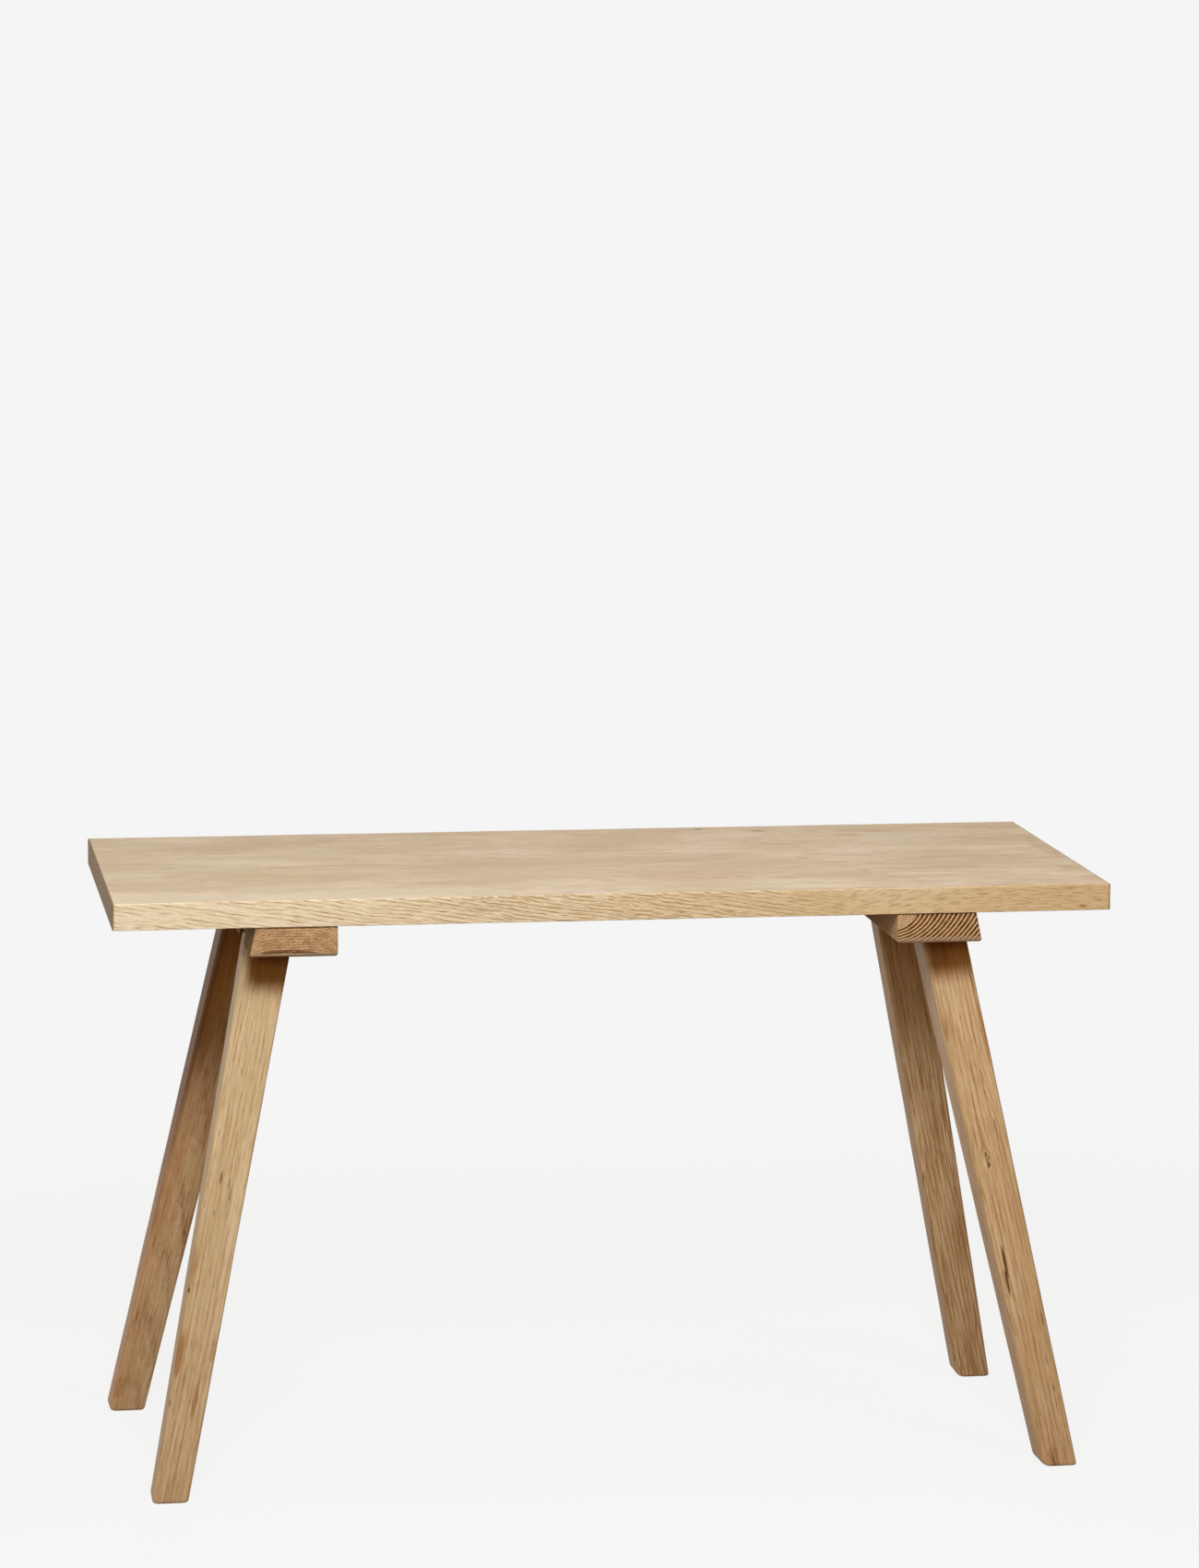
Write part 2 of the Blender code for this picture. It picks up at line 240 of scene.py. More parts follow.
class Field:
    """A socket's value in the shader's arithmetic. Each operator adds one Math node."""

    def __init__(self, graph, socket):
        self.graph = graph
        self.socket = socket

    def math(self, operation, *values, clamp=False):
        """A Math node with these values."""
        settings = {"operation": operation, "use_clamp": clamp}
        return self.graph.node("ShaderNodeMath", settings, dict(enumerate(values)))

    def __add__(self, other):
        return self.math("ADD", self, other)

    def __radd__(self, other):
        return self.math("ADD", other, self)

    def __sub__(self, other):
        return self.math("SUBTRACT", self, other)

    def __rsub__(self, other):
        return self.math("SUBTRACT", other, self)

    def __mul__(self, other):
        return self.math("MULTIPLY", self, other)

    def __rmul__(self, other):
        return self.math("MULTIPLY", other, self)

    def __truediv__(self, other):
        return self.math("DIVIDE", self, other)

    def __abs__(self):
        return self.math("ABSOLUTE", self)

    def root(self):
        """The square root."""
        return self.math("SQRT", self)

    def fract(self):
        """What is left over whole numbers."""
        return self.math("FRACT", self)

    def sine(self):
        """The sine of this angle."""
        return self.math("SINE", self)

    def clamped(self):
        """Kept between 0 and 1."""
        return self.math("ADD", self, 0.0, clamp=True)

    def least(self, other):
        """The lower of the two."""
        return self.math("MINIMUM", self, other)

    def most(self, other):
        """The higher of the two."""
        return self.math("MAXIMUM", self, other)

    def angle(self, other):
        """The angle of the point (other, self)."""
        return self.math("ARCTAN2", self, other)

    def step(self, low, high):
        """Runs smoothly from 0 at low to 1 at high. A high below low turns it round."""
        rising = high > low
        ends = (low, high) if rising else (high, low)
        values = {"Value": self, "From Min": ends[0], "From Max": ends[1]}
        values.update({"To Min": 0.0 if rising else 1.0, "To Max": 1.0 if rising else 0.0})
        return self.graph.node("ShaderNodeMapRange", {"interpolation_type": "SMOOTHSTEP"}, values)

    def hump(self, middle, reach):
        """1 at the middle, falling smoothly to 0 at this reach on both sides."""
        return abs(self - middle).step(reach, 0.0)

    def outside(self, half, band):
        """1 from near this half width outwards, on both sides. band says how far inside it that starts and
        is full."""
        return abs(self).step(half - band[0], half - band[1])


class Graph:
    """The nodes of one material or of the world."""

    def __init__(self, owner):
        self.owner = owner
        owner.use_nodes = True
        self.tree = owner.node_tree
        self.tree.nodes.clear()

    def node(self, kind, settings=None, inputs=None, output=0):
        """Adds a node: its settings first, then the values or links of its sockets. Gives one output."""
        made = self.tree.nodes.new(kind)
        for name, value in (settings or {}).items():
            setattr(made, name, value)
        for key, value in (inputs or {}).items():
            if isinstance(value, Field):
                self.tree.links.new(value.socket, made.inputs[key])
            else:
                made.inputs[key].default_value = value
        return Field(self, made.outputs[output])

    def place(self):
        """Object coordinates."""
        return self.node("ShaderNodeTexCoord", output="Object")

    def split(self, vector):
        """The three parts of a vector."""
        made = self.node("ShaderNodeSeparateXYZ", inputs={0: vector}).socket.node
        return [Field(self, socket) for socket in made.outputs]

    def seen(self):
        """1 for the eye, in reflections and through glass, and 0 for the light that is passed on."""
        path = self.node("ShaderNodeLightPath").socket.node
        rays = ("Is Camera Ray", "Is Glossy Ray", "Is Transmission Ray")
        camera, glossy, through = (Field(self, path.outputs[kind]) for kind in rays)
        return (camera + glossy + through).clamped()

    def joined(self, x, y, z):
        """A vector from three parts."""
        return self.node("ShaderNodeCombineXYZ", inputs={0: x, 1: y, 2: z})

    def noise(self, vector, scale, seed, detail=2.0, roughness=0.5):
        """Noise between 0 and 1. scale gives the cells per metre along each axis."""
        shift = (seed * 3.17, seed * 7.31, seed * 5.73)
        scaled = self.node(
            "ShaderNodeVectorMath", {"operation": "MULTIPLY_ADD"}, {0: vector, 1: scale, 2: shift}
        )
        values = {"Vector": scaled, "Scale": 1.0, "Detail": detail, "Roughness": roughness}
        return self.node("ShaderNodeTexNoise", {"noise_dimensions": "3D"}, values)

    def mix(self, first, second, factor):
        """A colour between two."""
        colours = {"Factor": factor, 6: self.colour(first), 7: self.colour(second)}
        return self.node("ShaderNodeMix", {"data_type": "RGBA", "clamp_factor": True}, colours, output=2)

    def colour(self, value):
        """A colour with its alpha, or the field as it is."""
        return value if isinstance(value, Field) else (*value, 1.0)

    def finish(self, shader, kind="ShaderNodeOutputMaterial"):
        """Ends the graph in this shader, and gives the material or the world."""
        end = self.tree.nodes.new(kind)
        self.tree.links.new(shader.socket, end.inputs["Surface"])
        return self.owner


def material_graph(name):
    """The graph of a new material."""
    return Graph(bpy.data.materials.new(name))


def oak_grain(graph, grain, cut):
    """Solid oak, in a space whose Z runs along the grain.

    Growth rings are shells round the pith, at equal steps of the distance from it, which slow noise bends.
    Pores are noise drawn out along the grain and kept where a ring begins. Fibres are finer noise, drawn
    out further. Rays, in a cut that has them, are noise in the angle round the pith, drawn out along the
    radius.
    """
    seed = cut["seed"]
    x, y, z = graph.split(grain)
    bend = (graph.noise(grain, (9, 9, 2.2), seed) - 0.5) * cut["drift"]
    tremble = (graph.noise(grain, (90, 90, 11), seed + 1) - 0.5) * cut["tremble"]
    across = x - cut["pith"][0] + z * cut["lean"][0]
    deep = y - cut["pith"][1] + z * cut["lean"][1]
    radius = (across * across + deep * deep).root() + bend + tremble
    ring = (radius / cut["ring"]).fract()
    early = ring.step(0.5, 0.1)
    pore = graph.noise(grain, (1250, 1250, 95), seed + 2, detail=1.0)
    oak = {
        "ring": ring,
        "early": early,
        "pores": pore.step(0.60, 0.72) * (early * 0.75 + 0.25),
        "fibre": graph.noise(grain, (760, 760, 20), seed + 3, detail=3.0, roughness=0.6),
    }
    if "rays" in cut:
        turned = graph.joined(deep.angle(across) * cut["rays"], radius * 60, z * 75)
        oak["rays"] = graph.noise(turned, (1, 1, 1), seed + 5, detail=1.0).step(0.60, 0.74)
    return oak


def mark(graph, place, centre, reach, seed, ragged=0.35):
    """A spot: 1 inside an ellipsoid with this centre and reach, with a ragged rim."""
    parts = [(field - middle) / half for field, middle, half in zip(place, centre, reach)]
    distance = (parts[0] * parts[0] + parts[1] * parts[1] + parts[2] * parts[2]).root()
    scale = tuple(0.8 / half for half in reach)
    rough = graph.noise(graph.joined(*place), scale, seed) - 0.5
    return (distance + rough * ragged * 2).step(1.0, 0.55)


def marks(graph, place, spots, seeds, ragged=0.35):
    """The sum of several spots. Each has a centre and a reach, in millimetres, and a strength, and takes
    the next of the seeds."""
    total = 0
    for (*spot, strength), seed in zip(spots, seeds):
        sizes = [size / 1000 for size in spot]
        total = mark(graph, place, sizes[:3], sizes[3:], seed, ragged) * strength + total
    return total


def wood_shader(graph, colour, roughness, relief):
    """Oiled wood: a Principled shader with this colour, roughness and relief."""
    bump = graph.node("ShaderNodeBump", {}, {"Strength": 0.6, "Distance": WOOD_RELIEF, "Height": relief})
    values = {
        "Base Color": colour,
        "Roughness": roughness,
        "Normal": bump,
        "IOR": 1.45,
        "Specular IOR Level": 0.06,
        "Specular Tint": (1.0, 0.7, 0.45, 1.0),
    }
    return graph.finish(graph.node("ShaderNodeBsdfPrincipled", {}, values))


def planed(graph, grain, oak, seed, dark):
    """The roughness and relief of planed oak. dark are the pores and marks that lie deeper."""
    fine = graph.noise(grain, (2100, 2100, 60), seed + 4, detail=1.0)
    roughness = oak["fibre"] * 0.14 + oak["pores"] * 0.15
    return roughness, oak["fibre"] * 0.5 - dark + fine * 0.2


def row(field, spacing, reach):
    """1 on lines of the field at this spacing, falling to 0 at this share of the spacing from them."""
    return (field / spacing).fract().hump(0.5, reach)


def edge_dashes(graph, x, z):
    """Pores on the seat's long edges, and the weak bands between them, as two fields.

    Over most of the length the pores are two sets of thin, broken, wavy lines that fall to the right, and
    fine hairs along them. Near the right end fine arcs take their place. The bands rise to the right.
    """
    flat = graph.joined(x, 0.0, z)
    wander = (graph.noise(flat, (26, 1, 60), 21, detail=1.5) - 0.5) * 0.0052
    ripple = (graph.noise(flat, (75, 1, 110), 22, detail=1.0) - 0.5) * 0.0018
    height = z + wander
    falling = height + x * 0.15 + ripple
    rising = graph.joined(x, 0.0, height - x * 0.42)
    bands = graph.noise(rising, (22, 1, 260), 28, detail=1.0).step(0.40, 0.64)
    along = graph.joined(x, 0.0, falling)
    broken = graph.noise(along, (90, 1, 420), 23, detail=1.0)
    long = graph.noise(along, (48, 1, 380), 24, detail=1.0)
    hair = graph.noise(along, (120, 1, 1300), 25, detail=1.0).step(0.46, 0.62)
    left = x.step(-0.12, -0.26)
    kept = left * long.step(0.38, 0.54) + (1 - left) * broken.step(0.40, 0.56)
    first = row(falling, 0.0029, 0.27) * kept
    second = row(falling + ripple + x * 0.05, 0.0019, 0.30) * broken.step(0.54, 0.40)
    past = (x - 0.15).most(0.0)
    arched = graph.joined(x, 0.0, height - past * 0.35 + past * past * 1.1)
    arcs = graph.noise(arched, (90, 1, 900), 29, detail=1.0).step(0.48, 0.64)
    curly = x.step(0.10, 0.22)
    lines = first * (0.84 - left * 0.24) + second * (0.68 - left * 0.30) + hair * (0.28 - left * 0.08)
    dense = 0.88 + bands * 0.24 + x.hump(0.0, 0.14) * 0.16 - x.hump(-0.18, 0.12) * 0.12
    dashes = lines * dense * (1 - curly) + arcs * curly * 0.54
    return dashes.clamped(), bands * (1 - left)


def seat_top(graph, place, grain, oak, settings):
    """The top's colour: clouds and streaks over a flat-sawn figure, with cream patches and brown spots."""
    x, y, _ = place
    cloud = graph.noise(grain, (24, 24, 9), 11, detail=2.5, roughness=0.55)
    streak = graph.noise(grain, (90, 90, 14), 12, detail=3.0, roughness=0.6)
    dapple = graph.noise(grain, (130, 130, 60), 35, roughness=0.7)
    tone = (cloud * 0.54 + streak * 0.22 + dapple * 0.24).step(0.38, 0.62)
    band = (y + (streak - 0.5) * 0.05).step(-0.085, -0.125) * x.step(0.06, -0.22) * 0.8
    tone = tone * 0.85 + band + marks(graph, place, SEAT_CREAM, SEAT_CREAM_SEEDS, 0.8)
    colour = graph.mix(settings.warm, settings.pale, tone.clamped())
    hue = graph.noise(grain, (22, 22, 9), 17).step(0.42, 0.60)
    colour = graph.mix(colour, settings.straw, hue * (0.55 - band * 0.40))
    figure = oak["early"] * 0.12 + (0.5 - oak["fibre"]).clamped() * 0.6 + oak["pores"] * 0.22
    figure = figure + (0.5 - dapple).clamped() * 0.5
    spots = x.step(0.05, 0.37) * 0.05 + marks(graph, place, SEAT_SPOTS, SEAT_SPOT_SEEDS, 0.6)
    return graph.mix(colour, settings.brown, (figure + spots).clamped())


def seat_edge(graph, place, settings):
    """The long edges' colour: paler at the left, with dashes, one fleck and a ragged upper rim. Also gives
    the dashes."""
    x, _, z = place
    dashes, bands = edge_dashes(graph, x, z)
    cloud = graph.noise(graph.joined(x, 0.0, z), (14, 1, 50), 26)
    tone = (x + (cloud - 0.5) * 0.28).step(-0.30, 0.44)
    fleck = mark(graph, place, *EDGE_FLECK, 27) * 0.7
    ragged = graph.noise(graph.joined(x, 0.0, 0.0), (150, 1, 1), 36).step(0.50, 0.60)
    rim = z.hump(0.4489, 0.0010) * ragged * x.hump(-0.14, 0.30) * 0.42
    marked = (dashes + bands * 0.06 + fleck + rim).clamped()
    colour = graph.mix(settings.edge_pale, settings.edge_tan, tone)
    return graph.mix(colour, settings.dash, marked), dashes


def seat_finish(settings):
    """The plank: its two faces, its long edges and its sawn ends."""
    graph = material_graph("oak_seat_planed")
    place = graph.split(graph.place())
    x, y, z = place
    grain = graph.joined(y, z - SEAT_HEIGHT + SEAT_THICKNESS / 2, x)
    oak = oak_grain(graph, grain, SEAT_CUT)
    edge_colour, dashes = seat_edge(graph, place, settings)
    edge = y.outside(SEAT_DEPTH / 2, EDGE_BAND)
    end = x.outside(SEAT_LENGTH / 2, END_BAND)
    sawn = (oak["early"] * 0.6 + oak["rays"] * 0.3 + oak["pores"] * 0.5).clamped()
    colour = graph.mix(seat_top(graph, place, grain, oak, settings), edge_colour, edge)
    colour = graph.mix(colour, graph.mix(*SEAT_END, sawn), end)
    dark = oak["pores"] * 0.6 + dashes * edge * 0.5
    roughness, relief = planed(graph, grain, oak, SEAT_CUT["seed"], dark)
    return wood_shader(graph, colour, roughness + 0.40, relief)


SEAT_CUT = {
    "seed": 3.0, "pith": (0.012, -0.085), "lean": (0.012, 0.020), "ring": 0.0050,
    "drift": 0.040, "tremble": 0.0022, "rays": 190.0,
}

# A fleck near the right end of the front edge: its centre and reach
EDGE_FLECK = ((0.349, -0.1475, 0.4335), (0.0035, 0.01, 0.0016))

# Creamy patches and brown spots of the seat's top: centre and reach in millimetres, and strength
SEAT_CREAM = (
    (352, -100, 450, 20, 12, 20, 0.9),
    (255, -86, 450, 50, 6, 20, 0.6),
    (135, -131, 450, 45, 8, 20, 0.6),
    (-275, 25, 450, 60, 45, 20, 0.35),
)
SEAT_SPOTS = (
    (111, 137, 450, 4, 5.5, 20, 0.75),
    (157, 123, 450, 7.5, 6, 20, 0.60),
    (238, 117, 450, 24, 6, 20, 0.20),
    (224, 96, 450, 20, 7, 20, 0.35),
    (252, -62, 450, 50, 9, 20, 0.16),
    (362, 20, 450, 8, 60, 20, 0.22),
    (360, -72, 450, 12, 12, 20, 0.25),
)
SEAT_CREAM_SEEDS = (13, 18, 19, 20)
SEAT_SPOT_SEEDS = (14, 15, 16, 31, 32, 33, 34)

# Each leg's own wood, in the order of LEGS. seed starts its noise. pith is the rings' centre and lean its
# slope, ring is a ring's width, and drift and tremble bend the rings. tone runs from 0, pale, to 1, brown,
# and foot and top are added to it towards the foot and the top; top is painted shade on the rear left leg and
# painted light on the rear right leg, where the seat's shadow falls. lines, mottle and fibre are the
# strengths of the rings' dark lines, of blurred spots and of fine lines. streaks is how many soft streaks
# cross a metre, and tint is mixed into all of it. The last two give the painted shadow under the crossbar
# on the front legs: its strength, and the edge from which it reaches towards +X.
LEG_WOOD = {
    "seed": (31.0, 47.0, 59.0, 71.0),
    "pith": ((0.050, -0.075), (-0.040, -0.060), (-0.010, -0.090), (0.055, 0.060)),
    "lean": ((-0.030, 0.004), (-0.010, 0.006), (0.020, 0.060), (0.045, 0.010)),
    "ring": (0.0026, 0.0024, 0.0032, 0.0022),
    "drift": (0.012, 0.014, 0.012, 0.012),
    "tremble": (0.0014, 0.0016, 0.0012, 0.0018),
    "tone": (0.03, 0.18, 0.23, 0.05),
    "foot": (0.31, 0.08, -0.09, 0.24),
    # top: painted shade on the rear left leg and painted light on the rear right leg, at their tops in the
    # seat's shadow
    "top": (0.06, 0.0, 0.16, -0.46),
    "lines": (0.16, 0.40, 0.30, 0.95),
    "mottle": (0.10, 0.20, 1.20, 0.20),
    "fibre": (2.3, 2.8, 3.0, 5.0),
    "streaks": (340, 460, 600, 560),
    "tint": ((0.50, 0.47, 0.30), (0.56, 0.40, 0.22), (0.45, 0.29, 0.13), (0.52, 0.36, 0.18)),
    # The painted shadow under the crossbars: its strength, and its edge across the leg
    "painted_under_bars": (0.80, 0.75, 0.0, 0.0),
    "painted_shade_edge": (-0.0105, -0.0140, 0.0, 0.0),
}

# Dark marks of each leg in its own frame: centre and reach in millimetres, and strength
LEG_MARKS = {
    "leg_front_left": [
        (-4.4, -16, 242, 1, 6, 6.2, 0.75),
        (2.2, -16, 239, 0.8, 6, 4.5, 0.40),
        (4.2, -16, 229, 0.9, 6, 5.5, 0.55),
        (-4.9, -16, 214.5, 0.8, 6, 3.5, 0.45),
        (-13.4, -14, 156, 1.3, 6, 2.6, 0.85),
        (-13, -14, 72, 1.2, 6, 4, 0.45),
        (4, -14, 70, 0.8, 6, 10, 0.35),
    ],
    "leg_front_right": [
        (7.5, -16, 262, 0.7, 6, 11, 0.65),
        (-7.8, -15, 161, 1.6, 6, 15, 0.95),
        (-9.2, -15, 146, 1.3, 6, 12, 0.95),
        (-3.7, -13, 4, 0.6, 8, 7.5, 0.95),
        (13.8, -17, 374, 0.5, 6, 13, 0.70),
        (6, -17, 302, 0.5, 6, 9, 0.50),
        (11, -15, 112, 0.6, 6, 6, 0.60),
        (8.5, -14, 58, 0.7, 6, 4.5, 0.60),
        (1.5, -14, 96, 0.6, 6, 5, 0.50),
    ],
    "leg_rear_left": [
        (-1, -16, 240, 0.5, 6, 8, 0.40),
        (6, -15, 188, 0.6, 6, 3, 0.45),
    ],
    "leg_rear_right": [
        (3.5, -16, 260, 0.6, 6, 13, 0.60),
        (-4, -16, 205, 0.5, 6, 12, 0.55),
    ],
}

# Soft brown stains of each leg, and paler wood where the strength is negative, given as the marks are
LEG_STAINS = {
    "leg_front_left": [
        # Painted shade: darkens the top of the left side, under the crossbar and the seat
        (-17.5, -6, 421, 5, 20, 23, 1.30),
        (-11.8, -14, 108, 2.4, 8, 22, 0.75),
        (-13.5, -14, 170, 1.8, 8, 28, 0.30),
        (4.5, -14, 78, 2.8, 8, 15, 0.38),
        (12, -14, 115, 2.4, 8, 12, 0.35),
    ],
    "leg_front_right": [
        # Painted light: makes the whole left side paler
        (-18, 0, 290, 4, 30, 170, -0.25),
        (-3.5, -13, 6, 5, 8, 10, 0.45),
        (14, -16, 330, 1.8, 8, 30, 0.35),
        (9.5, -16, 190, 3, 8, 24, 0.22),
    ],
    "leg_rear_left": [
        # Painted shade: darkens the whole left side
        (-18.5, 0, 220, 4, 30, 270, 0.80),
        (-11, -16, 330, 7, 8, 70, 0.40),
        (-12, -14, 170, 5.5, 8, 35, 0.30),
        (-12, -14, 18, 4, 8, 12, 0.35),
    ],
    "leg_rear_right": [
        (10, -15, 150, 4.5, 8, 50, 0.25),
        (0, -15, 240, 8, 8, 50, 0.18),
    ],
}

# Heights between which the painted shadow under the crossbars grows, and how softly it ends at the side
PAINTED_SHADE_RISE = (0.376, 0.394)
PAINTED_SHADE_BLUR = 0.0025

# The knot of the front right leg, in the leg's frame, its half width, the half widths that the grain keeps
# away from it, how much taller it is than wide, and the centre and reach of the chip beside it
KNOT = (-0.0046, -0.0155, 0.2400)
KNOT_REACH = 0.0024
KNOT_CORE = 1.5
KNOT_STRETCH = 2.3
KNOT_CHIP = ((-0.0062, -0.0155, 0.2392), (0.0010, 0.006, 0.0018))


def leg_place(graph, name):
    """Coordinates in a leg's own frame."""
    inverse = leg_frame(name).inverted()
    turned = {
        "Vector": graph.place(),
        "Location": tuple(inverse.translation),
        "Rotation": tuple(inverse.to_euler("XYZ")),
    }
    return graph.node("ShaderNodeMapping", {"vector_type": "POINT"}, turned)


def parted_grain(graph, place, front):
    """The grain round the knot, and the distance from the knot's centre in its half widths.

    The grain flows round the knot as water does round a pile: the distance across it is multiplied by
    1 - a * a / (r * r), where a is KNOT_CORE half widths and r is the distance from the knot, at least a.
    """
    x, y, z = place
    apart_x = x - KNOT[0]
    apart_z = (z - KNOT[2]) / KNOT_STRETCH
    squared = apart_x * apart_x + apart_z * apart_z
    core = (KNOT_CORE * KNOT_REACH) ** 2
    parted = 1 - front * core / squared.most(core)
    return graph.joined(KNOT[0] + apart_x * parted, y, z), squared.root() / KNOT_REACH


def knot_colour(graph, place, oak, colour, pores, settings):
    """The knot: a ragged dark crescent with holes, a pale chip beside it, and wavy lines above it. Also
    gives the pores with the crescent."""
    x, y, z = place
    seed = oak["seed"]
    sway = (oak["cloud"] - 0.5) * 0.003
    local = graph.joined(x, y, z)
    rough = (graph.noise(local, (600, 600, 300), seed + 61) - 0.5) * 0.9
    crescent = (oak["knot"] + rough).step(1.30, 0.95) * (x - KNOT[0]).step(-0.0012, 0.0002) * oak["front"]
    holes = graph.noise(local, (320, 320, 260), seed + 62, detail=1.0).step(0.42, 0.58)
    chip = mark(graph, place, *KNOT_CHIP, seed + 60, 0.8)
    swirl = row(x + z * 0.175 + sway, 0.0029, 0.20) * oak["streak"].step(0.36, 0.52)
    swirl = swirl * z.hump(0.283, 0.046) * x.hump(0.0065, 0.0085)
    curl = row(x + z * 0.35 + (z * 560).sine() * 0.0008 + sway, 0.0022, 0.28)
    curl = curl * z.hump(0.262, 0.018) * x.hump(-0.0010, 0.0105)
    wavy = (swirl * 0.90 + curl * 0.55) * oak["front"]
    colour = graph.mix(graph.mix(colour, CHIP_COLOUR, chip), settings.brown, wavy.clamped())
    return colour, (pores + crescent * (0.45 + holes * 0.50)) * (1 - chip)


def rear_left_colour(graph, place, oak, colour, settings):
    """The rear left leg's wood: beaded pale lines low on the front, redder wood towards -X, painted shade of a
    saturated brown at the top, where the seat's shadow falls, and painted shade on the upper left side."""
    x, _, z = place
    beads = graph.noise(oak["grain"], (300, 300, 240), oak["seed"] + 30, detail=1.0).step(0.40, 0.58)
    lines = row(x - 0.0005 + (oak["cloud"] - 0.5) * 0.004, 0.0024, 0.26) * x.hump(0.0025, 0.0070) * beads
    lines = lines * z.step(0.015, 0.05) * z.step(0.26, 0.20) * oak["front"]
    colour = graph.mix(colour, settings.pale, lines * 0.55)
    colour = graph.mix(colour, settings.russet, x.step(0.004, -0.010) * 0.30)
    # Painted shade: the top turns a saturated brown where the seat's shadow falls, more so towards -X
    deep = z.step(0.27, 0.38) * (0.34 + x.step(0.010, -0.008) * 0.20 + (oak["streak"] - 0.5) * 1.6)
    colour = graph.mix(colour, settings.amber_painted_shade, deep.clamped())
    # Painted shade: the upper left side and its edge take the pores' colour
    return graph.mix(colour, settings.pore, x.step(-0.0110, -0.0140) * z.step(0.12, 0.32) * 0.85)


def leg_finish(name, settings):
    """One leg: straight grain along its axis, with its own tone, lines, marks and stains. The front right
    leg has a small knot as well."""
    graph = material_graph("oak_" + name)
    cut = {key: values[list(LEGS).index(name)] for key, values in LEG_WOOD.items()}
    seed = cut["seed"]
    grain = leg_place(graph, name)
    place = graph.split(grain)
    x, y, z = place
    front = y.step(-0.006, -0.011)
    knot = None
    if name == "leg_front_right":
        grain, knot = parted_grain(graph, place, front)
    oak = oak_grain(graph, grain, cut)
    cloud = graph.noise(grain, (60, 60, 7), seed + 6, roughness=0.55)
    streak = graph.noise(grain, (cut["streaks"], cut["streaks"], 12), seed + 7, detail=3.0, roughness=0.6)
    short = graph.noise(grain, (700, 700, 85), seed + 8, detail=1.0)
    mottle = graph.noise(grain, (210, 210, 130), seed + 10, detail=3.0)
    oak.update(seed=seed, grain=grain, front=front, knot=knot, cloud=cloud, streak=streak)
    tone = (cloud * 0.40 + streak * 0.42 + short * 0.12 + mottle * 0.06).step(0.41, 0.61)
    colour = graph.mix(graph.mix(settings.warm, settings.pale, tone), cut["tint"], 0.30)
    broken = graph.noise(grain, (420, 420, 26), seed + 9, detail=1.0).step(0.40, 0.58)
    darker = (
        oak["ring"].hump(0.16, 0.13) * broken * cut["lines"]
        + oak["early"] * 0.12
        + (0.52 - oak["fibre"]).clamped() * cut["fibre"]
        + (0.50 - short).clamped() * 0.7
        + (0.50 - mottle).clamped() * cut["mottle"]
        + z.step(0.34, 0.0) * cut["foot"]
        # Towards the top: painted shade on the rear left leg, and painted light on the rear right leg, whose
        # value is below 0
        + z.step(0.24, 0.37) * cut["top"]
        + cut["tone"]
        + marks(graph, place, LEG_STAINS[name], itertools.count(seed + 40), 0.5)
    )
    colour = graph.mix(colour, settings.brown, darker.clamped())
    if name == "leg_rear_left":
        colour = rear_left_colour(graph, place, oak, colour, settings)
    if name == "leg_rear_right":
        # Painted shade: a saturated brown mixed into the rear right leg's top, where the seat's shadow falls
        colour = graph.mix(colour, settings.amber_painted_shade, z.step(0.20, 0.36) * 0.17)
    # Painted shadow: darkens the front legs' front faces below the crossbars, where their cast shadow falls,
    # from its edge towards +X
    if cut["painted_under_bars"]:
        painted_under_bars = z.step(*PAINTED_SHADE_RISE) * (x - cut["painted_shade_edge"]).step(-PAINTED_SHADE_BLUR, PAINTED_SHADE_BLUR) * front
        painted_under_bars = painted_under_bars * (1.10 + (0.5 - streak) * 0.6) * cut["painted_under_bars"]
        colour = graph.mix(colour, settings.painted_bar_shadow, painted_under_bars.clamped())
    pores = oak["pores"] * 0.50 + marks(graph, place, LEG_MARKS[name], itertools.count(seed + 20))
    if knot:
        colour, pores = knot_colour(graph, place, oak, colour, pores, settings)
    pores = pores.clamped()
    sole = graph.split(graph.place())[2].step(0.0012, 0.0004)
    colour = graph.mix(graph.mix(colour, settings.pore, pores), settings.brown, sole * 0.6)
    roughness, relief = planed(graph, grain, oak, seed, pores * 0.7)
    return wood_shader(graph, colour, roughness + 0.36, relief)


# Each crossbar's wood, as for a leg, the colour of its sides, the height below which its ends are worn and
# how much
CROSSBAR_CUTS = {
    "crossbar_left": {
        "seed": 83.0, "pith": (-0.238, 0.305), "lean": (0.0, 0.010), "ring": 0.00165, "drift": 0.003,
        # The left bar's side colour is far darker than its oak: painted shade on its long faces
        "tremble": 0.0006, "side": (0.165, 0.098, 0.034), "worn": 0.4098, "wear": 0.80,
    },
    "crossbar_right": {
        "seed": 97.0, "pith": (0.200, 0.462), "lean": (0.010, 0.0), "ring": 0.0021, "drift": 0.002,
        "tremble": 0.0006, "side": (0.50, 0.33, 0.18), "worn": 0.4116, "wear": 0.56,
    },
}

# The left crossbar's end: the middle of its level rows, and the top of the dark lens below them
ROWS_MIDDLE = -0.2395
LENS_TOP = (-0.2450, 0.4121)

# The right crossbar's rings: the centre of the first one, the radius at which they widen, and their steps
RING_CENTRE = (0.2055, 0.4275)
RING_CHANGE = 0.0187
RING_STEPS = (0.0020, 0.0042)


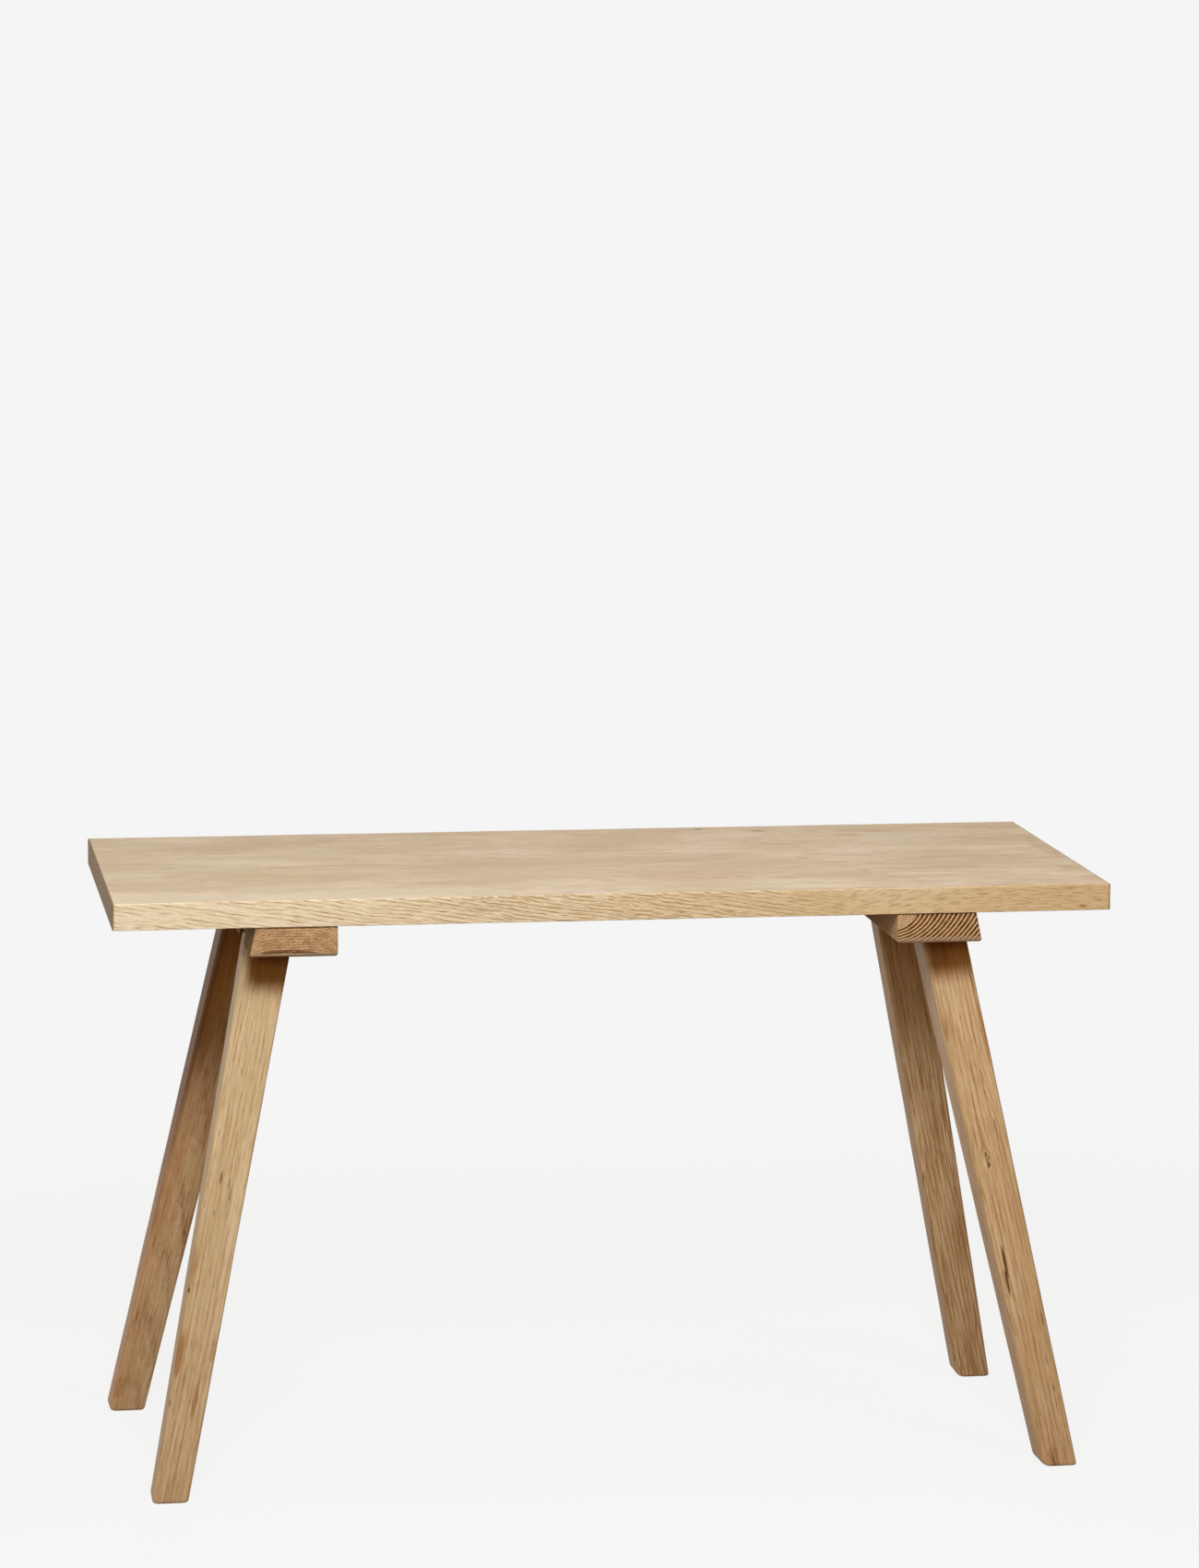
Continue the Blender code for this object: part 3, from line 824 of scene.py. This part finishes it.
def left_end(graph, x, z, settings, seed):
    """The left bar's end grain: level rows of dark pores that drop at both ends, fine upright rays and a
    dark lens. Also gives the rows."""
    past = (abs(x - ROWS_MIDDLE) - 0.015).most(0.0) / 0.0145
    arched = z + past * past * 0.0042
    flat = graph.joined(x, 0.0, arched)
    dot = graph.noise(flat, (480, 1, 800), seed + 11, detail=1.0)
    rows = row(arched + (dot - 0.5) * 0.0003, 0.0020, 0.34) * (dot.step(0.38, 0.56) * 0.6 + 0.4)
    rays = row(x + (dot - 0.5) * 0.0004, 0.0016, 0.26)
    patch = graph.noise(flat, (150, 1, 380), seed + 12)
    colour = graph.mix(*LEFT_END, patch.step(0.30, 0.66))
    colour = graph.mix(colour, settings.pale, rays * 0.26)
    colour = graph.mix(colour, settings.brown, rows.clamped())
    colour = graph.mix(colour, settings.pore, rows * dot.step(0.52, 0.66) * 0.5)
    aside = x - LENS_TOP[0]
    bow = z - LENS_TOP[1] + aside * aside * 4.4
    lens = (bow + (dot - 0.5) * 0.0006).hump(0.0, 0.0019).step(0.1, 0.6) * patch.step(0.26, 0.42)
    inside = bow.step(0.0004, -0.0004) * 0.22
    lens = (lens * 0.74 + inside) * x.hump(-0.2415, 0.0260).step(0.0, 0.2)
    return graph.mix(colour, settings.pore, lens), rows


def right_end(graph, x, z, settings, seed):
    """The right bar's end grain: thin pale lines of hard wood, with brown and dark pores between them. Also
    gives the lines.

    The lines are circles whose centres climb by half their radius, R: with a the distance across from the
    first centre and b the height over it, R is (root(0.75 a * a + b * b) - b / 2) / 0.75. Beyond one radius
    the lines lie twice as far apart.
    """
    across = x - RING_CENTRE[0]
    above = z - RING_CENTRE[1]
    radius = ((across * across * 0.75 + above * above).root() - above * 0.5) / 0.75
    flat = graph.joined(x, 0.0, z)
    radius = radius + (graph.noise(flat, (260, 1, 260), seed + 13, detail=1.0) - 0.5) * 0.0009
    inner, outer = RING_STEPS
    lines = radius.least(RING_CHANGE) / inner + (radius - RING_CHANGE).most(0.0) / outer + 0.15
    spacing = inner + radius.step(RING_CHANGE - 0.0004, RING_CHANGE + 0.0004) * (outer - inner)
    beyond = (lines.fract() - 0.5) * spacing
    dot = graph.noise(flat, (900, 1, 900), seed + 11, detail=1.0)
    patch = graph.noise(flat, (170, 1, 170), seed + 12)
    line = abs(beyond).step(0.00062, 0.00024) * dot.step(0.18, 0.42)
    pores = beyond.hump(0.0009, 0.0008) * dot.step(0.40, 0.60)
    young = radius.step(0.016, 0.009) * 0.10
    body = graph.mix(*RIGHT_END, (patch.step(0.3, 0.7) * 0.8 + young).clamped())
    colour = graph.mix(body, settings.pore, pores * 0.85)
    return graph.mix(colour, settings.hard, line), line


def crossbar_finish(name, settings):
    """A crossbar: rings and rays on its ends, and dull brown sides, which on the left bar are painted shade.
    """
    graph = material_graph("oak_" + name)
    cut = CROSSBAR_CUTS[name]
    x, y, z = graph.split(graph.place())
    grain = graph.joined(x, z, y)
    oak = oak_grain(graph, grain, cut)
    seed = cut["seed"]
    streak = graph.noise(grain, (240, 240, 9), seed + 7, detail=3.0, roughness=0.6)
    darker = (oak["early"] * 0.3 + streak.step(0.4, 0.7) * 0.5).clamped()
    # The sides: on the left bar their colour is painted shade
    colour = graph.mix(cut["side"], settings.brown, darker * 0.5)
    colour = graph.mix(colour, settings.pore, oak["pores"] * 0.4)
    end = y.outside(CROSSBAR_LENGTH / 2, CROSSBAR_BAND)
    end_grain = left_end if name == "crossbar_left" else right_end
    end_colour, line = end_grain(graph, x, z, settings, seed)
    worn = (z + (streak - 0.5) * 0.0016).step(cut["worn"] + 0.0014, cut["worn"])
    colour = graph.mix(colour, graph.mix(end_colour, settings.worn, worn * cut["wear"]), end)
    relief = oak["fibre"] * 0.5 - oak["pores"] * 0.6 + line * end * 0.3
    return wood_shader(graph, colour, 0.60 + oak["fibre"] * 0.2, relief)


def screw_finish(settings):
    """Turned steel with a thin yellow film and fine scratches round its axis."""
    graph = material_graph("steel_screw_bright")
    place = graph.place()
    scratch = graph.noise(place, (900, 900, 2600), 5)
    film = graph.noise(place, (240, 240, 240), 6).step(0.35, 0.7)
    bump = graph.node("ShaderNodeBump", {}, {"Strength": 0.2, "Distance": STEEL_RELIEF, "Height": scratch})
    values = {
        "Base Color": graph.mix(settings.steel, STEEL_FILM, film * 0.6),
        "Metallic": 1.0,
        "Roughness": 0.28 + scratch * 0.2,
        "Normal": bump,
    }
    return graph.finish(graph.node("ShaderNodeBsdfPrincipled", {}, values))


def outline(flat_steps, arc_steps):
    """A rounded square's outline, as corner shares and directions.

    A point is (corner share) * (half width - radius) + (direction) * radius. Round each corner the
    direction turns by 90 degrees while the share stays. Along each side the share runs between the corners.
    """
    flat = -np.cos(np.linspace(0, pi, flat_steps + 1))[1:-1]
    turn = np.linspace(-pi / 4, pi / 4, arc_steps + 1)
    shares = []
    directions = []
    for side in range(4):
        angle = side * pi / 2
        ahead = np.array([np.cos(angle), np.sin(angle)])
        left = np.array([-ahead[1], ahead[0]])
        along = ahead[None, :] + flat[:, None] * left[None, :]
        shares.append(along)
        directions.append(np.repeat(ahead[None, :], len(flat), axis=0))
        corner = np.repeat((ahead + left)[None, :], arc_steps + 1, axis=0)
        middle = angle + pi / 4
        shares.append(corner)
        directions.append(np.stack([np.cos(middle + turn), np.sin(middle + turn)], axis=1))
    return np.concatenate(shares), np.concatenate(directions)


def waves(points, lengths, seed, number=7):
    """Smooth unevenness between 0 and 1: the mean of sine waves in mixed directions, whose lengths lie near
    those given for each axis."""
    generator = np.random.default_rng(seed)
    size = (points.shape[-1], number)
    turns = generator.uniform(0.5, 1.6, size) * (2 * pi / np.asarray(lengths, float))[:, None]
    turns = turns * generator.choice([-1, 1], size)
    phases = generator.uniform(0, 2 * pi, number)
    return 0.5 + 0.5 * np.sin(points @ turns + phases).mean(axis=-1)


def ring_faces(rings):
    """The numbers of each ring's points, those of the points that follow them, and the faces between one
    ring and the next."""
    index = np.arange(rings.shape[0] * rings.shape[1]).reshape(rings.shape[:2])
    following = np.roll(index, -1, axis=1)
    quads = np.stack([index[:-1], following[:-1], following[1:], index[1:]], axis=-1).reshape(-1, 4)
    return index, following, quads


def fan(pole, first, second):
    """Triangles from a pole to each pair of points."""
    return np.stack([np.full(len(first), pole), first, second], axis=-1)


def skin_mesh(name, rings, low_pole, high_pole):
    """A closed mesh over rings of points: faces between one ring and the next, and a fan to a pole at each
    end."""
    points = np.concatenate([rings.reshape(-1, 3), [low_pole, high_pole]])
    index, following, quads = ring_faces(rings)
    low_fan = fan(index.size, following[0], index[0])
    high_fan = fan(index.size + 1, index[-1], following[-1])
    corners = np.concatenate([quads[:, [0, 1, 2]], quads[:, [0, 2, 3]], low_fan, high_fan])
    onward = 1 if np.linalg.det(points[corners]).sum() >= 0 else -1
    faces = [face for group in (quads, low_fan, high_fan) for face in group[:, ::onward].tolist()]
    mesh = bpy.data.meshes.new(name)
    mesh.from_pydata(points.tolist(), [], faces)
    mesh.validate()
    mesh.shade_smooth()
    mesh.set_sharp_from_angle(angle=SHARP_ANGLE)
    return mesh


def add_piece(name, mesh, material, nodes):
    """Adds an object that rides on the bench and stands for CAD nodes."""
    piece = bpy.data.objects.new(name, mesh)
    bpy.context.scene.collection.objects.link(piece)
    mesh.materials.append(material)
    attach(piece, "root")
    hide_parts(*nodes)


def seat_rings(settings):
    """The plank's surface: a rounded oblong section carried along X.

    Near each end the section draws in along a quarter circle, which eases the end's edges. Slow waves lower
    the faces a little, and quicker ones widen and narrow the eased edges.
    """
    flat_steps, arc_steps, steps = SEAT_STEPS
    shares, directions = outline(flat_steps, arc_steps)
    ease = settings.arris
    quarter = np.linspace(0, pi / 2, 6)
    inner = np.linspace(-1, 1, steps)[1:-1]
    reach = SEAT_LENGTH / 2
    end = np.array([0.15, 0.5, 0.85])
    away = np.concatenate([np.zeros(len(end)), ease * (1 - np.cos(quarter))])
    close = np.concatenate([np.full(len(end), ease), ease * (1 - np.sin(quarter))])
    x = np.concatenate([away - reach, inner * (reach - ease), reach - away[::-1]])
    draw = np.concatenate([close, np.zeros(len(inner)), close[::-1]])
    shrink = np.concatenate([end, np.ones(len(x) - 2 * len(end)), end[::-1]])
    half = np.array([SEAT_DEPTH / 2, SEAT_THICKNESS / 2])
    corners = shares[None, :, :] * np.ones((len(x), 1, 1))
    along = np.broadcast_to(x[:, None, None], (len(x), len(shares), 1))
    spot = np.concatenate([along, corners * half], axis=-1)
    lower = np.clip(-shares[:, 1], 0, 1)
    radius = ease * (0.75 + 0.9 * waves(spot[..., [0, 2]], (0.011, 0.05), seed=5)) * (1 - 0.6 * lower)
    sunk = settings.ripple * waves(spot, (0.16, 0.07, 0.08), seed=6)
    front_top = (directions[:, 0] < -0.15) & (directions[:, 1] > 0.15)
    torn = 0.35 + 0.65 * np.exp(-(((x + 0.17) / 0.13) ** 2))
    nicks = waves(spot[..., [0]], (0.0085,), seed=7, number=5) ** 2.5
    chip = (0.0003 + 0.0011 * front_top * torn[:, None]) * nicks
    corner = (np.abs(directions[:, 0]) > 0.15) & (np.abs(directions[:, 1]) > 0.15)
    inset = np.minimum(draw[:, None] + sunk + chip * corner, radius * 0.98)
    section = corners * (half - radius[..., None]) + directions * (radius - inset)[..., None]
    section = section * shrink[:, None, None]
    height = SEAT_HEIGHT - SEAT_THICKNESS / 2 + section[..., 1]
    return np.stack([np.broadcast_to(x[:, None], height.shape), section[..., 0], height], axis=-1)


def leg_frame(name):
    """The frame of a leg, as the source gives it: its origin is the axis's point on the floor, its Z runs
    up the axis and its Y is square to the world's X."""
    side, end, lean_along, lean_across = LEGS[name]
    up = Vector((-side * tan(lean_along), -end * tan(lean_across), 1))
    half_level = LEG_TOP_WIDTH / 2 * (1 + tan(lean_along) ** 2) ** 0.5
    foot_x = CROSSBAR_OUTER_EDGES[side] - LEG_STEP - half_level + CROSSBAR_UNDERSIDE * tan(lean_along)
    foot_y = SEAT_DEPTH / 2 - LEG_INSET + CROSSBAR_UNDERSIDE * tan(lean_across)
    z_axis = up.normalized()
    y_axis = z_axis.cross(Vector((1, 0, 0))).normalized()
    x_axis = y_axis.cross(z_axis)
    turn = Matrix((x_axis, y_axis, z_axis)).transposed().to_4x4()
    return Matrix.Translation((side * foot_x, end * foot_y, 0)) @ turn


def leg_rings(name, settings, seed):
    """A leg's surface: a rounded square section carried up the axis.

    The half width grows in a straight line from foot to top. The sole is level: the section's height along
    the axis is worked out from each point's own place in it, so that all of it lies on the floor. From
    there the section widens along a quarter of an ellipse, which is larger on the -X side. Slow waves lower
    the faces a little and change the radius of the eased edges.
    """
    placed = np.array(leg_frame(name))
    x_axis, y_axis, z_axis, origin = placed[:3, 0], placed[:3, 1], placed[:3, 2], placed[:3, 3]
    corner_rise = LEG_TOP_WIDTH / 2 * (abs(x_axis[2]) + abs(y_axis[2]))
    length = (HOUSING_CEILING - FIT - corner_rise) / z_axis[2]
    flat_steps, arc_steps, steps = LEG_STEPS
    shares, directions = outline(flat_steps, arc_steps)
    quarter = np.linspace(0, pi / 2, 9)
    sole_rows = 4
    foot_rows = sole_rows + len(quarter)
    body = np.linspace(0, 1, steps)[1:-1]
    shrink = np.concatenate([(0.1, 0.4, 0.7, 0.92), np.ones(len(quarter) + len(body))])[:, None, None]
    rise = np.concatenate([np.zeros(sole_rows), 1 - np.cos(quarter), np.zeros(len(body))])[:, None]
    draw = np.concatenate([np.ones(sole_rows), 1 - np.sin(quarter), np.zeros(len(body))])[:, None]
    run = np.concatenate([np.zeros(foot_rows), body])[:, None]
    chamfer = np.where(shares[:, 0] < 0, FOOT_CHAMFERS[name], FOOT_EASE)
    drop = FOOT_EASE + (chamfer - FOOT_EASE) * np.clip(-directions[:, 0], 0, 1) ** 2
    half = (LEG_FOOT_WIDTH + (LEG_TOP_WIDTH - LEG_FOOT_WIDTH) * run) / 2
    spot = np.broadcast_to(shares * LEG_FOOT_WIDTH / 2, (len(run), *shares.shape))
    along = np.broadcast_to((run * length)[..., None], (len(run), len(shares), 1))
    spot = np.concatenate([spot, along], axis=-1)
    worn = 1 + 0.7 * np.clip(-shares[:, 0], 0, 1) * np.clip(-shares[:, 1], 0, 1)
    radius = settings.arris * (0.72 + 0.55 * waves(spot, (0.05, 0.05, 0.12), seed)) * worn
    sunk = settings.ripple * waves(spot, (0.05, 0.05, 0.09), seed + 1)
    narrow = np.stack([chamfer * draw, FOOT_EASE * draw * np.ones_like(chamfer)], axis=-1)
    section = shares * (half - radius)[..., None] + directions * (radius - sunk)[..., None]
    section = (section - shares * narrow) * shrink
    tilt = (section[..., 0] * x_axis[2] + section[..., 1] * y_axis[2]) / z_axis[2]
    foot_top = drop / z_axis[2] - tilt[foot_rows - 1]
    axial = np.where(run > 0, foot_top + (length - foot_top) * run, drop * rise / z_axis[2] - tilt)

    turn = np.linspace(0, pi / 2, 8)
    top = shares * (LEG_TOP_WIDTH / 2 - radius[-1])[:, None] + directions * (radius[-1] - sunk[-1])[:, None]
    top = top - shares * LEG_TOP_EASE * (1 - np.cos(turn))[:, None, None]
    top_axial = length - LEG_TOP_EASE * (1 - np.sin(turn))
    cap = top[-1] * np.array([0.9, 0.5, 0.1])[:, None, None]
    section = np.concatenate([section, top, cap])
    top_axial = np.concatenate([top_axial, np.full(3, length)])[:, None] * np.ones(len(shares))
    axial = np.concatenate([axial, top_axial])
    points = origin + section[..., :1] * x_axis + section[..., 1:2] * y_axis + axial[..., None] * z_axis
    return points, origin, origin + z_axis * length


class BENCH_OT_seat(bpy.types.Operator):
    """Makes the seat plank"""

    bl_idname = "bench.seat"
    bl_label = "Seat"

    def execute(self, context):
        settings = context.scene.bench_seat
        rings = seat_rings(settings)
        mesh = skin_mesh("seat_plank", rings, rings[0].mean(axis=0), rings[-1].mean(axis=0))
        add_piece("seat_plank", mesh, seat_finish(settings), ["seat"])
        return {"FINISHED"}


class BENCH_OT_legs(bpy.types.Operator):
    """Makes the four legs"""

    bl_idname = "bench.legs"
    bl_label = "Legs"

    def execute(self, context):
        settings = context.scene.bench_legs
        for number, name in enumerate(LEGS):
            rings, foot, top = leg_rings(name, settings, seed=40 + 3 * number)
            piece_name = name + "_planed"
            mesh = skin_mesh(piece_name, rings, foot, top)
            add_piece(piece_name, mesh, leg_finish(name, settings), [name])
        return {"FINISHED"}


def paint(node_name, material):
    """Gives a CAD node this material."""
    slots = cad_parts[node_name].data.materials
    slots.clear()
    slots.append(material)


class BENCH_OT_crossbars(bpy.types.Operator):
    """Finishes the two crossbars"""

    bl_idname = "bench.crossbars"
    bl_label = "Crossbars"

    def execute(self, context):
        settings = context.scene.bench_crossbars
        for name in CROSSBAR_CUTS:
            paint(name, crossbar_finish(name, settings))
        return {"FINISHED"}


class BENCH_OT_screws(bpy.types.Operator):
    """Finishes the hidden screws"""

    bl_idname = "bench.screws"
    bl_label = "Screws"

    def execute(self, context):
        material = screw_finish(context.scene.bench_screws)
        screws = [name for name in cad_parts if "screw" in name]
        if not screws:
            raise RuntimeError("the frame holds no screws")
        for name in screws:
            paint(name, material)
        return {"FINISHED"}


def floor_finish(settings):
    """The floor: pale for the eye and in reflections, and a plain brown to the light that it passes on.

    Near the bench a share of the floor is lit as paper is, so it keeps the bench's shadow. Further off only
    the even background is left.
    """
    graph = material_graph("studio_floor_paper")
    place = graph.place()
    x, y, _ = graph.split(place)
    paper = graph.mix(*PAPER, graph.noise(place, (60, 60, 60), 2, detail=3.0))
    matt = {"Base Color": paper, "Roughness": 1.0, "Specular IOR Level": 0.0}
    lit = graph.node("ShaderNodeBsdfPrincipled", {}, matt)
    glow, even = (
        graph.node("ShaderNodeEmission", {}, {"Color": (*WHITE, 1.0), "Strength": strength})
        for strength in (settings.near_floor, settings.background)
    )
    passed_on = graph.node("ShaderNodeBsdfDiffuse", {}, {"Color": (*FLOOR_TINT, 1.0)})
    near = graph.node("ShaderNodeMixShader", {}, {0: LIT_SHARE, 1: glow, 2: lit})
    close_by = (x * x + y * y).root().step(*LIT_REACH)
    shown = graph.node("ShaderNodeMixShader", {}, {0: close_by, 1: even, 2: near})
    return graph.finish(graph.node("ShaderNodeMixShader", {}, {0: graph.seen(), 1: passed_on, 2: shown}))


def floor_mesh():
    """A flat round floor: rings of points at growing distances from its centre."""
    distances = np.geomspace(FLOOR_CORE, FLOOR_RADIUS, FLOOR_RINGS)[:, None]
    angles = np.linspace(0, 2 * pi, FLOOR_SIDES + 1)[:-1]
    x = distances * np.cos(angles)
    rings = np.stack([x, distances * np.sin(angles), x * 0], axis=-1)
    index, following, quads = ring_faces(rings)
    faces = quads[:, ::-1].tolist() + fan(index.size, index[0], following[0]).tolist()
    mesh = bpy.data.meshes.new("studio_floor")
    mesh.from_pydata([*rings.reshape(-1, 3).tolist(), (0, 0, 0)], [], faces)
    return mesh


def add_lamp(name, place, size, power):
    """A soft lamp that faces the middle of the bench. Its place is an azimuth, an elevation and a distance.
    Azimuth 0 is straight in front, and it grows to the left."""
    azimuth, elevation, distance = place
    back = Vector((-sin(azimuth) * cos(elevation), -cos(azimuth) * cos(elevation), sin(elevation)))
    data = bpy.data.lights.new(name, "AREA")
    data.shape = "RECTANGLE"
    data.size, data.size_y = size
    data.energy = power
    lamp = bpy.data.objects.new(name, data)
    lamp.location = Vector(LAMP_TARGET) + back * distance
    lamp.rotation_mode = "QUATERNION"
    lamp.rotation_quaternion = back.to_track_quat("Z", "Y")
    bpy.context.scene.collection.objects.link(lamp)
    return lamp


def add_camera():
    """The camera. It is turned to the right, tipped down and rolled a little."""
    level_share = cos(CAMERA_PITCH)
    forward = Vector((sin(CAMERA_TURN) * level_share, cos(CAMERA_TURN) * level_share, -sin(CAMERA_PITCH)))
    level = Vector((cos(CAMERA_TURN), -sin(CAMERA_TURN), 0))
    above = level.cross(forward)
    right = level * cos(CAMERA_ROLL) + above * sin(CAMERA_ROLL)
    up = right.cross(forward)
    data = bpy.data.cameras.new("studio_camera")
    data.lens = CAMERA_LENS
    data.sensor_width = CAMERA_SENSOR
    data.clip_end = CAMERA_REACH
    camera = bpy.data.objects.new("studio_camera", data)
    turn = Matrix((right, up, -forward)).transposed().to_4x4()
    camera.matrix_world = Matrix.Translation(CAMERA_PLACE) @ turn
    bpy.context.scene.collection.objects.link(camera)
    bpy.context.scene.camera = camera


def set_world(settings):
    """The air: the even background to the eye and in reflections, a weaker and warmer light to the rest."""
    graph = Graph(bpy.data.worlds.new("studio_air"))
    seen = graph.seen()
    values = {
        "Color": graph.mix(AIR_TINT, WHITE, seen),
        "Strength": seen * (settings.background - settings.air) + settings.air,
    }
    air = graph.node("ShaderNodeBackground", {}, values)
    bpy.context.scene.world = graph.finish(air, "ShaderNodeOutputWorld")


class BENCH_OT_studio(bpy.types.Operator):
    """Makes the floor, the light and the camera"""

    bl_idname = "bench.studio"
    bl_label = "Studio"

    def execute(self, context):
        settings = context.scene.bench_studio
        context.scene.view_settings.view_transform = "Standard"
        mesh = floor_mesh()
        mesh.materials.append(floor_finish(settings))
        floor = bpy.data.objects.new("studio_floor", mesh)
        context.scene.collection.objects.link(floor)
        for name, (azimuth, elevation, distance, *size) in LAMPS.items():
            place = (radians(azimuth), radians(elevation), distance)
            lamp = add_lamp("studio_" + name, place, size, getattr(settings, name))
            lamp.visible_glossy = name != "rear_lamp"
        set_world(settings)
        add_camera()
        return {"FINISHED"}


class BENCH_PT_pieces(bpy.types.Panel):
    """Lists the operators and their settings"""

    bl_idname = "BENCH_PT_pieces"
    bl_label = "Oak bench"
    bl_space_type = "VIEW_3D"
    bl_region_type = "UI"
    bl_category = "Bench"

    def draw(self, context):
        for operator, group, _ in PIECES:
            box = self.layout.box()
            box.operator(operator.bl_idname)
            settings = getattr(context.scene, group)
            for name in settings.bl_rna.properties.keys():
                if name not in ("rna_type", "name"):
                    box.prop(settings, name)


# Each operator, the scene's name for its settings, and their class
PIECES = (
    (BENCH_OT_seat, "bench_seat", SeatSettings),
    (BENCH_OT_crossbars, "bench_crossbars", CrossbarSettings),
    (BENCH_OT_legs, "bench_legs", LegSettings),
    (BENCH_OT_screws, "bench_screws", ScrewSettings),
    (BENCH_OT_studio, "bench_studio", StudioSettings),
)


def register():
    """Registers the classes and gives the scene its settings."""
    for operator, name, group in PIECES:
        bpy.utils.register_class(group)
        bpy.utils.register_class(operator)
        setattr(bpy.types.Scene, name, bpy.props.PointerProperty(type=group))
    bpy.utils.register_class(BENCH_PT_pieces)


def unregister():
    """Takes the classes and the scene's settings away again."""
    bpy.utils.unregister_class(BENCH_PT_pieces)
    for operator, name, group in reversed(PIECES):
        delattr(bpy.types.Scene, name)
        bpy.utils.unregister_class(operator)
        bpy.utils.unregister_class(group)


def main():
    register()
    bpy.ops.bench.seat()
    bpy.ops.bench.crossbars()
    bpy.ops.bench.legs()
    bpy.ops.bench.screws()
    bpy.ops.bench.studio()


if __name__ == "__main__":
    main()
